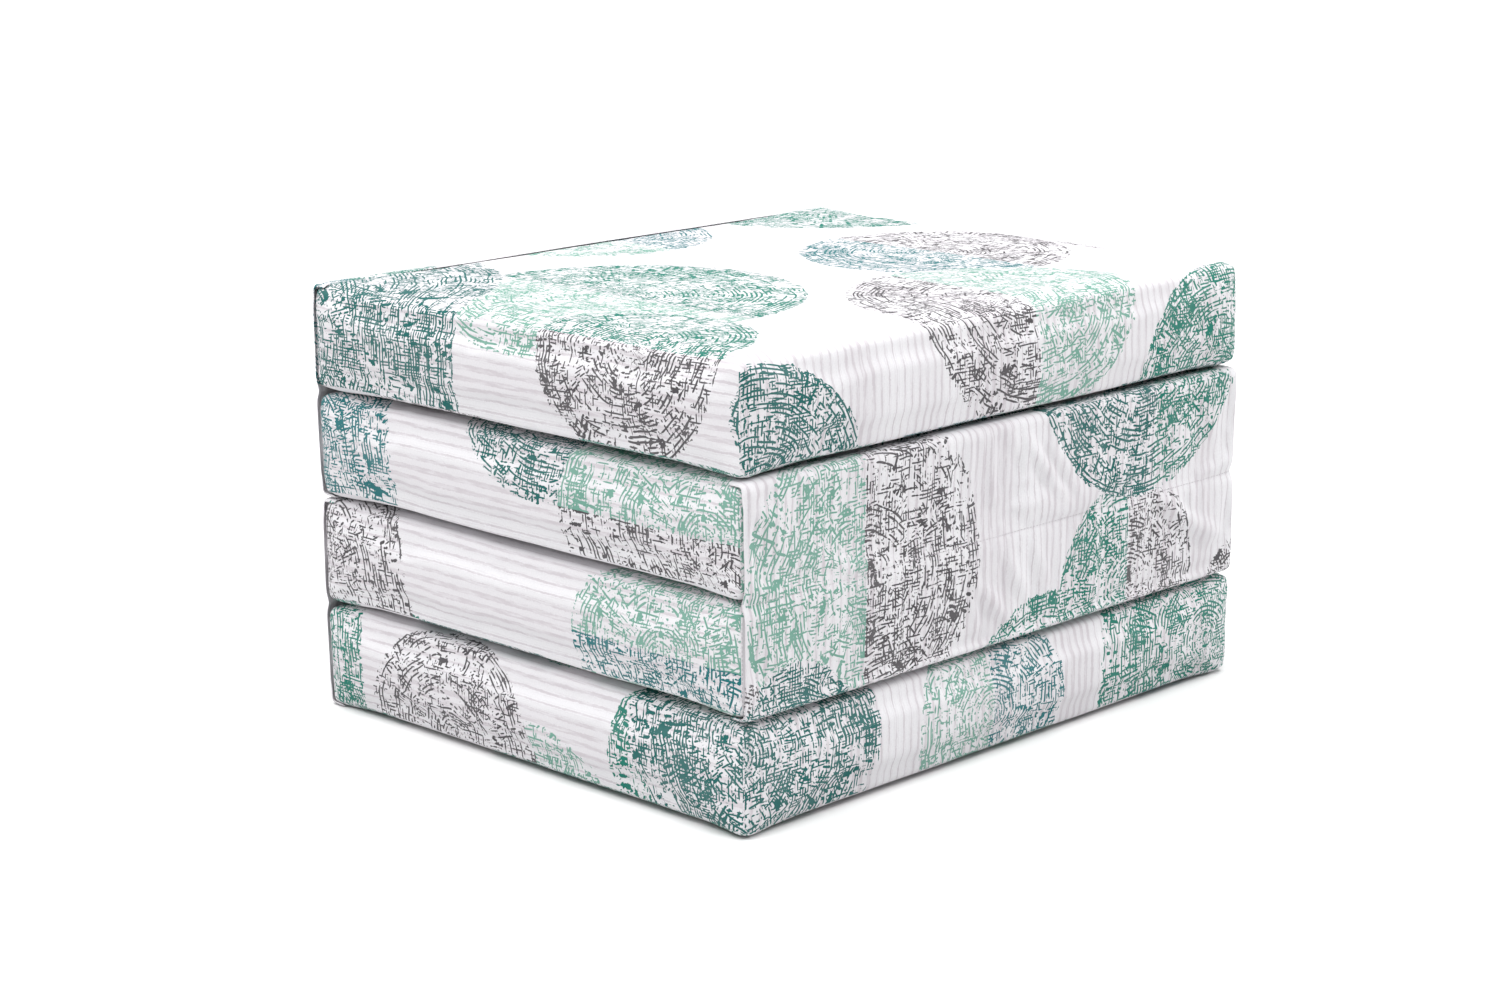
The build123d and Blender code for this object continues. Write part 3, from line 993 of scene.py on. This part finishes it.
@dataclass
class SectionCover:
    """Printed cotton cover of one section, filled by its foam core.

    Attributes:
        voxel: size of the net's faces.
        roll: radius of its rolled edges.
        slim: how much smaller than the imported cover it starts, on each side.
        recess: how far it is drawn in under a strip.
        hem: how far its lying faces sink under a strip's turned-in hem.
        pucker: height of the crumples at its corner seams.
        ripple: height of the soft waves all over it.
        proud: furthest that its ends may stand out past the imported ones.
        shy: air left between its lying faces and the next section.
        crown: how far the top section's top may stand up.
        corner_reach: where the crumples fade, measured from an upright edge.
        seam_margin: where the drawn-in end starts, measured from its corner seams.
        end_reach: where the recess fades, measured from the end.
        hem_reach: where the sunk lying faces end, measured from the end.
        lying_from: where the lying faces start, measured from the section's middle.
        zip_reach: where the flattened back fades above and below the zip.
        zip_end: where it fades past the zip's ends.
    """

    number: int
    stack: Stack
    voxel: float = 0.006
    roll: float = 0.0065
    slim: float = 0.0012
    recess: float = 0.0036
    hem: float = 0.0013
    pucker: float = 0.0011
    ripple: float = 0.0006
    proud: float = 0.0011
    shy: float = 0.0001
    crown: float = 0.004
    corner_reach: tuple[float, float] = (0.006, 0.05)
    seam_margin: tuple[float, float] = (0.008, 0.022)
    end_reach: tuple[float, float] = (0.004, 0.03)
    hem_reach: tuple[float, float] = (0.019, 0.030)
    lying_from: tuple[float, float] = (0.034, 0.044)
    zip_reach: tuple[float, float] = (0.0085, 0.019)
    zip_end: tuple[float, float] = (0.004, 0.016)
    crumple_pitch: tuple[float, float, float] = (0.02, 0.02, 0.011)
    wave_pitch: tuple[float, float, float] = (0.07, 0.07, 0.03)
    piece: bpy.types.Object = field(init=False)

    def build(self) -> bpy.types.Object:
        """Builds the cover, puffs it up over its foam and settles it in the stack.

        Returns:
            The cover.
        """
        low, high = self.stack.section(self.number)
        low, high = low + Vector((self.slim,) * 3), high - Vector((self.slim,) * 3)
        bm = bmesh.new()
        bmesh.ops.create_cube(bm, size=1.0)
        bmesh.ops.scale(bm, vec=high - low, verts=bm.verts)
        bmesh.ops.translate(bm, vec=(low + high) / 2, verts=bm.verts)
        bmesh.ops.bevel(bm, geom=bm.edges[:], offset=self.roll, offset_type="OFFSET", segments=4,
                        profile=0.5, affect="EDGES", material=-1)
        self.piece = to_object(bm, f"cover_{self.number}")
        self._remesh()
        self._lay_cloth()
        moved = ClothRun(pressure=2.0, grow=0.004, cap=0.0032).settle(self.piece)
        log.info("cover_%d puffed up by at most %.1f mm", self.number, moved / MM)
        self._settle()
        keep_slack(self.piece)
        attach(self.piece, f"section_{self.number}")
        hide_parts(f"cover_shell_{self.number}", f"closing_panel_{self.number}")
        return self.piece

    def _remesh(self) -> None:
        """Gives the cover an even net of small faces."""
        modifier = self.piece.modifiers.new("net", "REMESH")
        modifier.mode = "VOXEL"
        modifier.voxel_size = self.voxel
        modifier.use_smooth_shade = True
        mesh = evaluated(self.piece)
        self.piece.modifiers.remove(modifier)
        self.piece.data = mesh
        mesh.name = self.piece.name

    def _lay_cloth(self) -> None:
        """Lays the cloth's map in metres: the top with all four sides turned down, and the underside."""
        mesh = self.piece.data
        top = self.stack.section(self.number)[1].z
        places = coordinates(mesh)
        layer = mesh.uv_layers.new(name=PRINT_MAP)
        rows = np.zeros((len(mesh.loops), 2), np.float32)
        for face in mesh.polygons:
            n = face.normal
            for loop in face.loop_indices:
                x, y, z = places[mesh.loops[loop].vertex_index]
                drop = top - z
                if n.z < -0.7:
                    rows[loop] = (-x, -y)
                elif n.z > 0.985:
                    rows[loop] = (x, y)
                elif abs(n.x) > abs(n.y):
                    rows[loop] = (x + math.copysign(drop, n.x), y)
                else:
                    rows[loop] = (x, y + math.copysign(drop, n.y))
        layer.data.foreach_set("uv", rows.ravel())

    def _settle(self) -> None:
        """Keeps the cover in its layer, draws it in under the strips and puckers it at the corner seams."""
        low, high = self.stack.section(self.number)
        places = coordinates(self.piece.data)
        normals = np.zeros(len(places) * 3, np.float32)
        self.piece.data.vertices.foreach_get("normal", normals)
        normals = normals.reshape(-1, 3)
        for side in self.stack.strip_sides(self.number):
            self._draw_in(places, side, low, high)
        corner = np.hypot(np.minimum(places[:, 0] - low.x, high.x - places[:, 0]),
                          np.minimum(places[:, 1] - low.y, high.y - places[:, 1]))
        near_corner = 1 - smoothstep(corner, *self.corner_reach)
        crumple = field_noise(places, self.crumple_pitch, 5.0 * self.number)
        places += normals * (self.pucker * crumple * near_corner)[:, None]
        waves = field_noise(places, self.wave_pitch, 7.7 * self.number)
        places += normals * (self.ripple * waves)[:, None]
        floor = low.z if self.number == 1 else low.z + self.shy
        ceiling = high.z - self.shy if self.number < SECTIONS else high.z + self.crown
        places[:, 2] = np.clip(places[:, 2], floor, ceiling)
        places = self._sew_in_zip(self.stack.sag(places))
        for side in (-1, 1):
            proud = side * places[:, 0] - HALF_LENGTH * MM
            eased = HALF_LENGTH * MM + self.proud * np.tanh(proud / self.proud)
            places[:, 0] = np.where(proud > 0, side * eased, places[:, 0])
        set_coordinates(self.piece.data, places)

    def _draw_in(self, places: np.ndarray, side: int, low: Vector, high: Vector) -> None:
        """Makes room for a strip and its hem at one end, except beside the corner seams.

        Args:
            places: the cover's places, which are moved.
            side: -1 at the low X end, 1 at the high X end.
            low: lowest corner of the section.
            high: highest corner of the section.
        """
        end = high.x if side > 0 else low.x
        middle = (low.z + high.z) / 2
        start, full = self.seam_margin
        inner = smoothstep(places[:, 1], low.y + start, low.y + full)
        inner *= 1 - smoothstep(places[:, 1], high.y - full, high.y - start)
        near = 1 - smoothstep(np.abs(places[:, 0] - end), *self.end_reach)
        places[:, 0] -= side * self.recess * near * inner
        under = 1 - smoothstep(np.abs(places[:, 0] - end), *self.hem_reach)
        lying = smoothstep(np.abs(places[:, 2] - middle), *self.lying_from)
        places[:, 2] -= np.sign(places[:, 2] - middle) * self.hem * under * inner * lying

    def _sew_in_zip(self, places: np.ndarray) -> np.ndarray:
        """Draws the back of the cover flat along the zip.

        Args:
            places: the cover's places.

        Returns:
            The places, with the back flattened.
        """
        reach, face, height = self.stack.zip_line(self.number)
        start, full = self.zip_end
        flat = 1 - smoothstep(np.abs(places[:, 2] - height), *self.zip_reach)
        flat *= 1 - smoothstep(np.abs(places[:, 0]), reach + start, reach + full)
        flat *= places[:, 1] > face - 0.02
        places[:, 1] += flat * (face + self.shy - places[:, 1])
        return places

    def dress(self, effects: Effects) -> None:
        """Prints the cover.

        Args:
            effects: the shared node groups.
        """
        seen, reach_u, reach_v = SEEN[self.number], 420, 470
        spare = scattered(40 + self.number, 9, seen, reach_u, reach_v)
        finish = PrintedCotton(f"cotton_{self.number}", tuple(spare + PLACED[self.number]))
        self.piece.data.materials.clear()
        self.piece.data.materials.append(finish.material(effects))


@dataclass(frozen=True)
class FoamCore:
    """Block of open-cell foam inside a cover, cut smaller than its sewn size."""

    number: int
    stack: Stack
    inset: float = 0.010
    arris: float = 0.008

    def build(self) -> bpy.types.Object:
        """Cuts the block.

        Returns:
            The block.
        """
        low, high = self.stack.section(self.number)
        size = high - low - Vector((2 * self.inset,) * 3)
        bm = bmesh.new()
        bmesh.ops.create_cube(bm, size=1.0)
        bmesh.ops.scale(bm, vec=size, verts=bm.verts)
        bmesh.ops.translate(bm, vec=(low + high) / 2, verts=bm.verts)
        bmesh.ops.bevel(bm, geom=bm.edges[:], offset=self.arris, offset_type="OFFSET", segments=3,
                        profile=0.5, affect="EDGES", material=-1)
        piece = to_object(bm, f"foam_{self.number}")
        piece.data.materials.append(FOAM.material())
        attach(piece, f"section_{self.number}")
        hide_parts(f"foam_core_{self.number}")
        return piece


TROUGH_DEPTH, TROUGH_PLACE, DRAW_SHARE = 0.45, 1.6, 0.9


@dataclass(frozen=True)
class Wrinkle:
    """One soft ridge of slack cloth, in millimetres and degrees from the middle of a strip's crease."""

    across: float
    up: float
    length: float
    width: float
    height: float
    slant: float

    def shape(self, across: np.ndarray, up: np.ndarray) -> tuple[np.ndarray, np.ndarray]:
        """How far the ridge lifts the cloth, and how far it draws it sideways, at places in metres.

        Args:
            across: places along the crease, from its middle.
            up: places above the crease.

        Returns:
            The lift and the sideways draw, in metres.
        """
        turn = math.radians(self.slant)
        x, y = across / MM - self.across, up / MM - self.up
        along = (x * math.cos(turn) + y * math.sin(turn)) / (self.length / 2)
        beside = (y * math.cos(turn) - x * math.sin(turn)) / self.width
        ridge = np.exp(-beside ** 2 - along ** 2)
        trough = TROUGH_DEPTH * np.exp(-(beside + TROUGH_PLACE) ** 2 - along ** 2)
        return self.height * MM * (ridge - trough), DRAW_SHARE * self.height * MM * beside * ridge


SLACK = (
    Wrinkle(36, 50, 70, 5.2, 4.4, -48),
    Wrinkle(64, 43, 60, 5.0, 3.6, -50),
    Wrinkle(88, 40, 40, 4.5, 2.4, -54),
    Wrinkle(10, 62, 40, 4.5, 2.6, -52),
    Wrinkle(-18, -56, 60, 5.2, 4.2, -44),
    Wrinkle(6, -36, 50, 5.0, 3.2, -58),
    Wrinkle(34, -28, 40, 4.5, 2.2, -62),
    Wrinkle(228, -31, 95, 5.5, 4.4, -38),
    Wrinkle(258, -44, 50, 5.0, 3.4, -32),
    Wrinkle(205, -20, 50, 4.5, 2.8, -44),
    Wrinkle(272, 26, 36, 4.5, 2.8, -62),
    Wrinkle(-280, 62, 34, 5.0, 1.8, -20),
)


def loose_wrinkles(seed: int, count: int) -> tuple[Wrinkle, ...]:
    """Wrinkles for a strip that hides its own.

    Args:
        seed: start of the draw.
        count: how many there are.

    Returns:
        The wrinkles.
    """
    draw = random.Random(seed)
    return tuple(Wrinkle(draw.uniform(-270, 270), draw.choice((-1, 1)) * draw.uniform(22, 62),
                         draw.uniform(34, 80), draw.uniform(4.8, 6.5), draw.uniform(2.0, 3.8),
                         draw.uniform(-60, 60)) for _ in range(count))


@dataclass
class FoldStrip:
    """One strip of printed cotton over the end faces of two sections, sewn down on the fold line.

    Attributes:
        roll: radius at which it turns over the sections' edges.
        tuck: length of the hem beyond the turn.
        corner_deg: how far it turns round the upright edges.
        cell: size of its faces.
        slack: share by which the cloth run lets it grow.
        sewn: width of its side edges, which sink towards the cover.
        sink: how far they sink.
        bend_reach: half the height of the stretch that bends. Not used.
        taut: share of the cloth run's billows that is kept.
        stand_off: its face's distance from the middle of the stack.
        highest: furthest that a wrinkle stands out.
        deepest: furthest that one goes in.
        groove: depth of the sewn crease.
        pinch: extra depth at the crease's ends.
        pin_turn: where the cloth run's pins start and hold fully, before and after the turn's start.
        pin_side: the same, measured in from a side edge.
        pin_crease: where the pins let go, measured from the crease.
        free_up: where the wrinkles fade above and below the crease.
        free_crease: where they start beside the crease.
        free_side: where they fade towards the side edges, measured from the middle.
        turn_from: height over the crease above which the cloth may turn inwards by turn_room.
        groove_width: width of the sewn crease.
        pinch_reach: reach of the pinch along the crease and up it.
    """

    lower: int
    stack: Stack
    roll: float = 0.0068
    tuck: float = 0.012
    corner_deg: float = 50.0
    cell: float = 0.005
    thickness: float = 0.0011
    slack: float = 0.035
    sewn: float = 0.006
    sink: float = 0.0030
    bend_reach: float = 0.005
    taut: float = 0.45
    stand_off: float = 0.2502
    highest: float = 0.0044
    deepest: float = 0.0026
    groove: float = 0.0016
    pinch: float = 0.0030
    pin_turn: tuple[float, float] = (0.002, 0.004)
    pin_side: tuple[float, float] = (0.012, 0.005)
    pin_crease: tuple[float, float] = (0.0005, 0.0035)
    free_up: tuple[float, float] = (0.070, 0.084)
    free_crease: tuple[float, float] = (0.001, 0.010)
    free_side: tuple[float, float] = (0.284, 0.296)
    turn_from: float = 0.075
    turn_room: float = 0.02
    groove_width: float = 0.0022
    pinch_reach: tuple[float, float] = (0.016, 0.006)
    piece: bpy.types.Object = field(init=False)
    size: tuple[float, float] = field(init=False)

    def build(self) -> bpy.types.Object:
        """Cuts the strip, wraps it round the ends and lets its slack fall into wrinkles.

        Returns:
            The strip.
        """
        side = self.stack.side(self.lower)
        hinge = self.stack.hinge(self.lower)["pos_m"]
        low, _ = self.stack.section(self.lower)
        high = self.stack.section(self.lower + 1)[1]
        ends = (low.y, high.y)
        flat = ((high.y - low.y) / 2 - self.roll, hinge[2] - low.z - self.roll)
        self.size = (2 * (flat[0] + self.roll * math.radians(self.corner_deg)),
                     2 * (flat[1] + self.roll * math.pi / 2 + self.tuck))
        bm = self._cut((low.y + high.y) / 2, high.z - hinge[2])
        self._wrap(bm, flat, side, (low.y + high.y) / 2, hinge[2])
        if side < 0:
            bmesh.ops.reverse_faces(bm, faces=bm.faces[:])
        self.piece = to_object(bm, f"strip_{self.lower}{self.lower + 1}")
        self.piece.vertex_groups.new(name="pinned")
        moved = ClothRun(grow=self.slack, gravity=1.0, frames=24, cap=0.0042,
                         bending=0.12).settle(self.piece, "pinned")
        log.info("strip over fold %d wrinkled by at most %.1f mm", self.lower, moved / MM)
        self._settle(side, hinge[2], ends)
        self._finish()
        return self.piece

    def _cut(self, middle: float, rise: float) -> bmesh.types.BMesh:
        """Cuts the strip flat, with the print's map.

        Args:
            middle: place of its middle across the stack, along Y.
            rise: height of the upper section's top over the fold line.

        Returns:
            The flat strip, around the origin.
        """
        across, up = self.size
        bm = bmesh.new()
        bmesh.ops.create_grid(bm, x_segments=round(across / self.cell),
                              y_segments=2 * round(up / 2 / self.cell), size=0.5)
        bmesh.ops.scale(bm, vec=(across, up, 1), verts=bm.verts)
        print_map = bm.loops.layers.uv.new(PRINT_MAP)
        for face in bm.faces:
            for loop in face.loops:
                place = loop.vert.co
                loop[print_map].uv = (HALF_LENGTH * MM + rise - place.y, middle + place.x)
        return bm

    def _wrap(self, bm: bmesh.types.BMesh, flat: tuple[float, float], side: int, middle: float,
              crease: float) -> None:
        """Bends the flat strip over the sections' edges, and pins what is sewn.

        Args:
            bm: the flat strip, which is bent.
            flat: half its flat stretch across the stack and up it.
            side: -1 at the low X end, 1 at the high X end.
            middle: place of its middle along Y.
            crease: height of the fold line.
        """
        half_across = self.size[0] / 2
        turned = flat[1] + self.roll * math.pi / 2
        pins = bm.verts.layers.deform.verify()
        for vert in bm.verts:
            across, up, _ = vert.co
            aside, rise = np.array(abs(across)), np.array(abs(up))
            held = max(smoothstep(rise, flat[1] - self.pin_turn[0], flat[1] + self.pin_turn[1]),
                       smoothstep(aside, half_across - self.pin_side[0], half_across - self.pin_side[1]),
                       1 - smoothstep(rise, *self.pin_crease))
            vert[pins][0] = float(held)
            turn_z = min(max(0.0, abs(up) - flat[1]) / self.roll, math.pi / 2)
            turn_y = max(0.0, abs(across) - flat[0]) / self.roll
            tucked = max(0.0, abs(up) - turned)
            edge = smoothstep(aside, half_across - self.sewn, half_across)
            roll = self.roll - self.sink * float(edge)
            inwards = self.roll + tucked - roll * math.cos(turn_y) * math.cos(turn_z)
            vert.co = (side * (self.stand_off - inwards),
                       middle + math.copysign(min(abs(across), flat[0]) + roll * math.sin(turn_y), across),
                       crease + math.copysign(min(abs(up), flat[1]) + roll * math.sin(turn_z), up))

    def _settle(self, side: int, crease: float, ends: tuple[float, float]) -> None:
        """Keeps the wrinkles clear of the covers and the fold, and sinks the sewn crease.

        Args:
            side: -1 at the low X end, 1 at the high X end.
            crease: height of the fold line.
            ends: lowest and highest Y of the stack.
        """
        end = side * self.stand_off
        places = coordinates(self.piece.data)
        middle = (ends[0] + ends[1]) / 2
        up = np.abs(places[:, 2] - crease)
        out = side * (places[:, 0] - end)
        free = 1 - smoothstep(up, *self.free_up)
        free *= smoothstep(up, *self.free_crease)
        free *= 1 - smoothstep(np.abs(places[:, 1] - middle), *self.free_side)
        out = np.where(out > 0, self.taut * out, out)
        for wrinkle in SLACK if self.lower == 2 else loose_wrinkles(50 + self.lower, 9):
            lift, draw = wrinkle.shape(places[:, 1] - middle, places[:, 2] - crease)
            out += free * lift
            places[:, 1] += free * draw
        out = np.where(out > 0, self.highest * np.tanh(out / self.highest), out)
        turned = self.turn_room * (up > self.turn_from)
        out = np.where(out < 0, np.maximum(out, -self.deepest - turned), out)
        out -= self.groove * np.exp(-(up / self.groove_width) ** 2)
        near_end = np.minimum(places[:, 1] - ends[0], ends[1] - places[:, 1])
        along, above = self.pinch_reach
        out -= self.pinch * np.exp(-(near_end / along) ** 2) * np.exp(-(up / above) ** 2)
        places[:, 0] = end + side * out
        set_coordinates(self.piece.data, self.stack.sag(places))

    def _finish(self) -> None:
        """Gives the cloth its thickness and a smooth subdivision, fixes its place and hides the imported
        strip halves.
        """
        solid = self.piece.modifiers.new("cloth thickness", "SOLIDIFY")
        solid.thickness = self.thickness
        solid.offset = -1.0
        keep_slack(self.piece)
        pair = f"{self.lower}{self.lower + 1}"
        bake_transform(self.piece)
        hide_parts(f"fold_strip_{pair}_lower", f"fold_strip_{pair}_upper")

    def dress(self, effects: Effects) -> None:
        """Prints the strip.

        Args:
            effects: the shared node groups.
        """
        placed = STRIP_PLACED if self.lower == 2 else scattered(70 + self.lower, 7, (), 440, 330)
        finish = PrintedCotton(f"strip_cotton_{self.lower}", tuple(placed))
        self.piece.data.materials.append(finish.material(effects))


@dataclass(frozen=True)
class CornerSeams:
    """Sewn seams up the four corners of a section's cover, over the strips' side edges where they meet."""

    number: int
    stack: Stack
    stitching: Stitching = Stitching()
    roll: float = 0.012
    clear: float = 0.02

    def build(self, surface: Surface) -> bpy.types.Object:
        """Sews the four seams on the finished surfaces.

        Args:
            surface: the cover and the strips over it.

        Returns:
            The seams.
        """
        low, high = self.stack.section(self.number)
        bm = bmesh.new()
        count = 0
        for x, aside in ((low.x, -1), (high.x, 1)):
            for y, back in ((low.y, -1), (high.y, 1)):
                inward = Vector((-aside, -back, 0)).normalized()
                foot = Vector((x, y, low.z + self.roll)) - inward * self.clear
                head = Vector((x, y, high.z - self.roll)) - inward * self.clear
                count += self.stitching.row(bm, surface, self.stitching.line(foot, head), inward)
        piece = to_object(bm, f"seams_{self.number}")
        piece.data.materials.append(THREAD.material())
        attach(piece, f"section_{self.number}")
        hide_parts(f"corner_seams_{self.number}")
        log.info("sewed seams_%d with %d stitches", self.number, count)
        return piece


@dataclass(frozen=True)
class CreaseSeam:
    """Row of stitches that holds a strip down on its fold line."""

    lower: int
    stack: Stack
    stitching: Stitching = Stitching(pitch=0.0038, thread=0.00036)
    clear: float = 0.01
    margin: float = 0.007

    def build(self, strip: FoldStrip) -> bpy.types.Object:
        """Sews the row along the strip's sunken crease.

        Args:
            strip: the strip that is sewn down.

        Returns:
            The row.
        """
        hinge = self.stack.hinge(self.lower)["pos_m"]
        side = self.stack.side(self.lower)
        low, high = self.stack.section(self.lower)
        clear = hinge[0] + side * self.clear
        across = self.stitching.line(Vector((clear, low.y + self.margin, hinge[2])),
                                     Vector((clear, high.y - self.margin, hinge[2])))
        bm = bmesh.new()
        count = self.stitching.row(bm, Surface.of(strip.piece), self.stack.sagged(across),
                                   Vector((-side, 0, 0)))
        pair = f"{self.lower}{self.lower + 1}"
        piece = to_object(bm, f"crease_{pair}")
        piece.data.materials.append(THREAD.material())
        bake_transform(piece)
        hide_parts(f"hinge_seam_{pair}")
        log.info("sewed crease_%s with %d stitches", pair, count)
        return piece


@dataclass(frozen=True)
class ZipFastener:
    """Coil zip in the back of a cover: tapes, two meshed nylon coils, stops, slider and puller."""

    number: int
    stack: Stack
    wire: float = 0.00030
    steps: int = 10
    sides: int = 5
    wound: int = 8
    doublings: int = 5
    offset: float = 0.00036
    hem: float = 0.0022
    clear: float = 0.01

    def build(self, surface: Surface) -> list[bpy.types.Object]:
        """Winds the coils and sews the tapes down.

        Args:
            surface: the cover and the strips over it.

        Returns:
            The coils and the stitches.
        """
        return [self._coils(), self._sewing(surface)]

    def _coils(self) -> bpy.types.Object:
        """Two flattened coils of wire that mesh along the middle.

        Returns:
            The coils.
        """
        low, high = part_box(f"zip_coil_{self.number}")
        middle = (low + high) / 2
        pitch = (high.x - low.x) / (self.wound * 2 ** self.doublings + 1)
        bm = bmesh.new()
        for place, hand in ((-1, 1), (1, -1)):
            centre = Vector((low.x + pitch * (0.5 + 0.25 * place), middle.y,
                             middle.z + place * self.offset))
            radius = (high.z - low.z) / 2 - self.offset - self.wire
            start = Matrix.Translation(centre + Vector((0, 0, radius))) @ Matrix.Rotation(math.pi / 2, 4, "X")
            ring = bmesh.ops.create_circle(bm, segments=self.sides, radius=self.wire, cap_ends=False,
                                           matrix=start)["verts"]
            edges = list({edge for vert in ring for edge in vert.link_edges})
            bmesh.ops.spin(bm, geom=ring + edges, cent=centre, axis=(hand, 0, 0),
                           angle=2 * math.pi * self.wound, dvec=(pitch / self.steps, 0, 0),
                           steps=self.steps * self.wound)
        for doubling in range(self.doublings):
            copied = bmesh.ops.duplicate(bm, geom=bm.verts[:] + bm.edges[:] + bm.faces[:])["geom"]
            bmesh.ops.translate(bm, vec=(pitch * self.wound * 2 ** doubling, 0, 0),
                                verts=[part for part in copied if isinstance(part, bmesh.types.BMVert)])
        bmesh.ops.remove_doubles(bm, verts=bm.verts[:], dist=0.00001)
        bmesh.ops.holes_fill(bm, edges=[edge for edge in bm.edges if edge.is_boundary], sides=self.sides)
        bmesh.ops.recalc_face_normals(bm, faces=bm.faces[:])
        piece = to_object(bm, f"coils_{self.number}")
        piece.data.materials.append(NYLON.material())
        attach(piece, f"section_{self.number}")
        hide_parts(f"zip_coil_{self.number}")
        return piece

    def _sewing(self, surface: Surface) -> bpy.types.Object:
        """Two rows of stitches beside the tapes, where the cover is turned under.

        Args:
            surface: what they are sewn on.

        Returns:
            The stitches.
        """
        low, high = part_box(f"zip_tape_{self.number}")
        stitching = Stitching()
        bm = bmesh.new()
        back = high.y + self.clear
        for height in (low.z - self.hem, high.z + self.hem):
            starts = stitching.line(Vector((low.x, back, height)), Vector((high.x, back, height)))
            stitching.row(bm, surface, starts, Vector((0, -1, 0)))
        piece = to_object(bm, f"zip_stitches_{self.number}")
        piece.data.materials.append(THREAD.material())
        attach(piece, f"section_{self.number}")
        return piece

    def dress(self) -> None:
        """Gives the tapes and the metal parts their finishes."""
        dress_node(f"zip_tape_{self.number}", TAPE.material())
        for part in ("stops", "slider", "puller"):
            dress_node(f"zip_{part}_{self.number}", NICKEL.material())


# --- Studio -------------------------------------------------------------------------------------------


@dataclass(frozen=True)
class Studio:
    """Pale floor, soft light from all round and the camera."""

    eye: Vector = Vector((1.731, -1.784, 0.769))
    yaw_deg: float = -44.82
    pitch_deg: float = 13.66
    roll_deg: float = -0.53
    lens: float = 72.74
    surround: float = 0.32

    def build(self) -> None:
        """Sets up the floor, the lights and the camera."""
        self._floor()
        self._lights()
        self._camera()

    def _floor(self) -> None:
        """A wide white floor."""
        bm = bmesh.new()
        bmesh.ops.create_grid(bm, x_segments=1, y_segments=1, size=14.0)
        floor = to_object(bm, "studio_floor", smooth=False)
        material, s, surface = shader("studio_paper")
        paper = s.noise(s.node("TexCoord").outputs["Object"], 3.0, 2.0)
        tone = s.mix(paper, (0.74, 0.74, 0.74, 1), (0.76, 0.76, 0.76, 1))
        s.plug(surface, {"Base Color": tone, "Roughness": 0.9})
        floor.data.materials.append(material)

    def _sun(self, name: str, azimuth_deg: float, height_deg: float, spread_deg: float, power: float) -> None:
        """One far, broad and soft light, from an azimuth counted from -Y towards +X.

        Args:
            name: the light's name.
            azimuth_deg: where it stands, seen from above.
            height_deg: how high it stands.
            spread_deg: how wide it looks.
            power: its strength.
        """
        data = bpy.data.lights.new(name, "SUN")
        data.energy = power
        data.angle = math.radians(spread_deg)
        azimuth, height = math.radians(azimuth_deg), math.radians(height_deg)
        source = Vector((math.sin(azimuth) * math.cos(height), -math.cos(azimuth) * math.cos(height),
                         math.sin(height)))
        lamp = bpy.data.objects.new(name, data)
        lamp.rotation_euler = source.to_track_quat("Z", "Y").to_euler()
        bpy.context.scene.collection.objects.link(lamp)

    def _lights(self) -> None:
        """An even white surround, a broad light overhead and two weak ones, from the left and from behind."""
        bpy.context.scene.view_settings.view_transform = "Standard"
        world = bpy.data.worlds.new("studio")
        world.use_nodes = True
        tree = world.node_tree
        background = tree.nodes["Background"]
        background.inputs["Color"].default_value = WHITE
        seen = tree.nodes.new("ShaderNodeLightPath").outputs["Is Camera Ray"]
        strength = tree.nodes.new("ShaderNodeMapRange")
        strength.inputs["To Min"].default_value = self.surround
        strength.inputs["To Max"].default_value = 1.0
        tree.links.new(seen, strength.inputs["Value"])
        tree.links.new(strength.outputs["Result"], background.inputs["Strength"])
        bpy.context.scene.world = world
        self._sun("overhead", 20, 78, 70, 4.8)
        self._sun("key", -35, 30, 30, 0.22)
        self._sun("fill", 166, 16, 10, 1.35)

    def _camera(self) -> None:
        """Looks down at the stack's front upright edge, from a little above it."""
        yaw, pitch, roll = (math.radians(a) for a in (self.yaw_deg, self.pitch_deg, self.roll_deg))
        forward = Vector((math.sin(yaw) * math.cos(pitch), math.cos(yaw) * math.cos(pitch), -math.sin(pitch)))
        level = Vector((math.cos(yaw), -math.sin(yaw), 0))
        upright = level.cross(forward)
        right = level * math.cos(roll) + upright * math.sin(roll)
        up = upright * math.cos(roll) - level * math.sin(roll)
        data = bpy.data.cameras.new("camera")
        data.lens = self.lens
        data.sensor_width = 36.0
        data.clip_end = 60.0
        camera = bpy.data.objects.new("camera", data)
        turn = Matrix((right, up, -forward)).transposed()
        camera.matrix_world = Matrix.Translation(self.eye) @ turn.to_4x4()
        bpy.context.scene.collection.objects.link(camera)
        bpy.context.scene.camera = camera


def main() -> None:
    """Builds and dresses every piece of the mattress, then the studio."""
    effects = Effects()
    stack = Stack()
    covers, strips = [], []
    for number in range(1, SECTIONS + 1):
        cover = SectionCover(number, stack)
        cover.build()
        cover.dress(effects)
        covers.append(cover)
        FoamCore(number, stack).build()
        log.info("built cover_%d and its foam", number)
    for lower in range(1, SECTIONS):
        strip = FoldStrip(lower, stack)
        strip.build()
        strip.dress(effects)
        strips.append(strip)
        CreaseSeam(lower, stack).build(strip)
        across, up = (length / MM for length in strip.size)
        log.info("built the strip over fold %d, cut to %.0f by %.0f mm", lower, across, up)
    for cover in covers:
        near = [strip.piece for strip in strips if cover.number in (strip.lower, strip.lower + 1)]
        surface = Surface.of(cover.piece, *near)
        CornerSeams(cover.number, stack).build(surface)
        fastener = ZipFastener(cover.number, stack)
        fastener.build(surface)
        fastener.dress()
        log.info("fitted the zip of cover_%d", cover.number)
    Studio().build()


if __name__ == "__main__":
    main()
